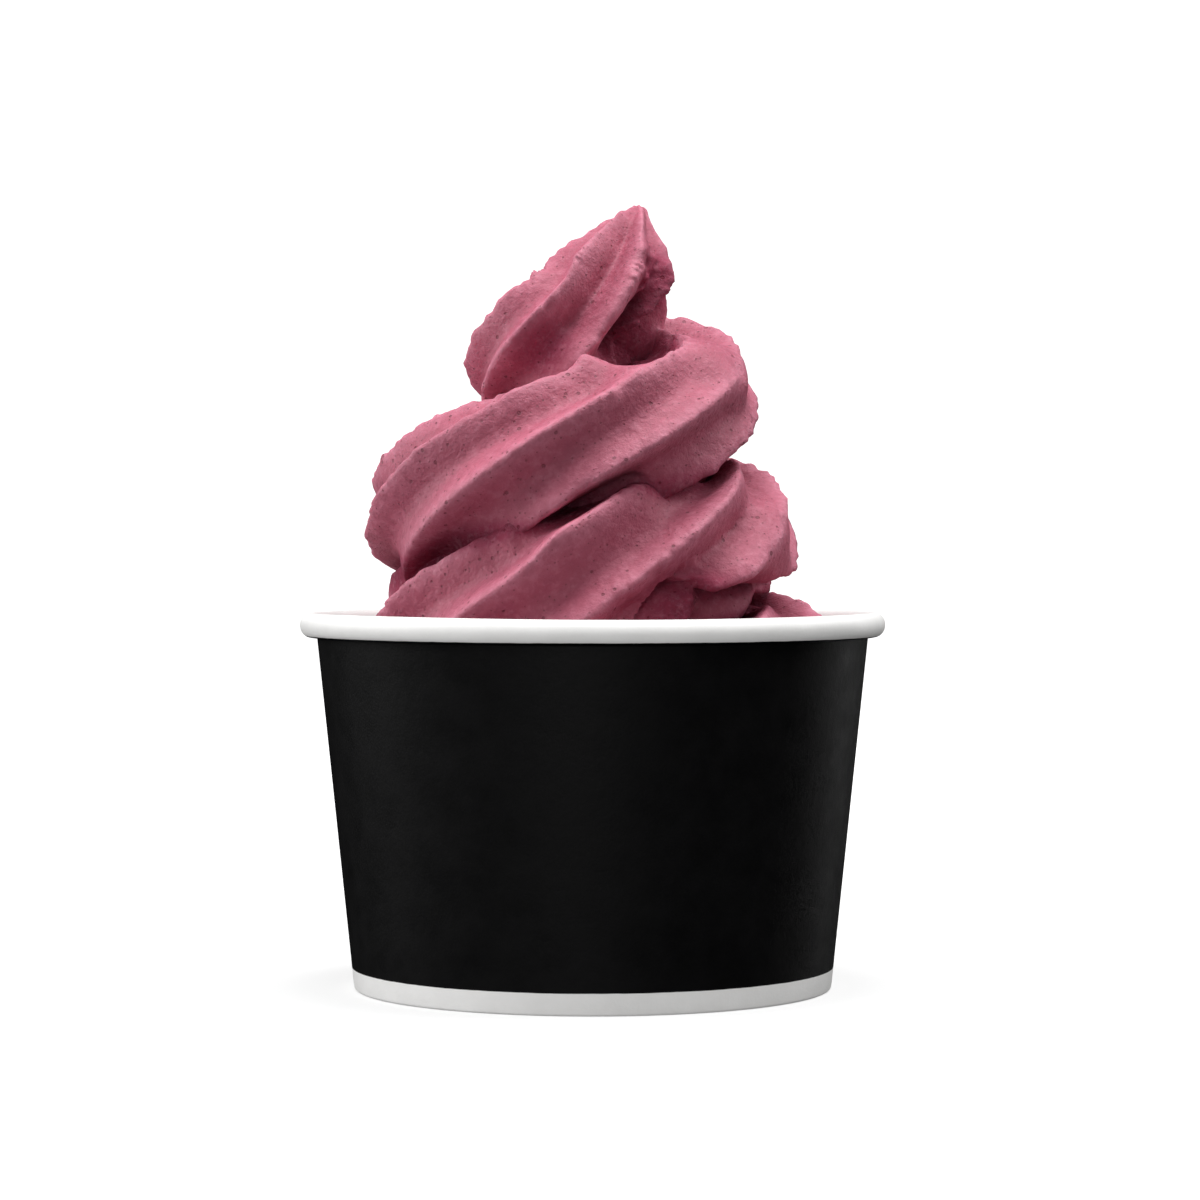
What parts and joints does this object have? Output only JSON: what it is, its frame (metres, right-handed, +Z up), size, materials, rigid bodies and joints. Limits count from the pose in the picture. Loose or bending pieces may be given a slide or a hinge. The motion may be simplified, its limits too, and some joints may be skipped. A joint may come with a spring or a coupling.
{
  "type": "acai soft serve cup",
  "caption": "Fluted swirl of purple-pink acai soft serve winding up to a leaning peak in a tapered black paper cup with a white rolled rim.",
  "frame": {"origin": "centre of the cup's foot, on the surface that the cup stands on", "axes": "+Z up along the cup's axis, and -Y towards the side that the picture shows"},
  "size_m": [0.096, 0.096, 0.1294],
  "materials": {
    "cup_paper": "black printed paper with a thin smooth coating, left white on the rim, inside and along the foot",
    "base_paper": "plain white coated paper",
    "soft_serve": "smooth, dense frozen fruit cream, matte with a faint moist sheen and fine dark specks"
  },
  "bodies": {
    "root": {"cup_wall": "cup_paper", "cup_base": "base_paper", "soft_serve": "soft_serve"}
  },
  "joints": []
}
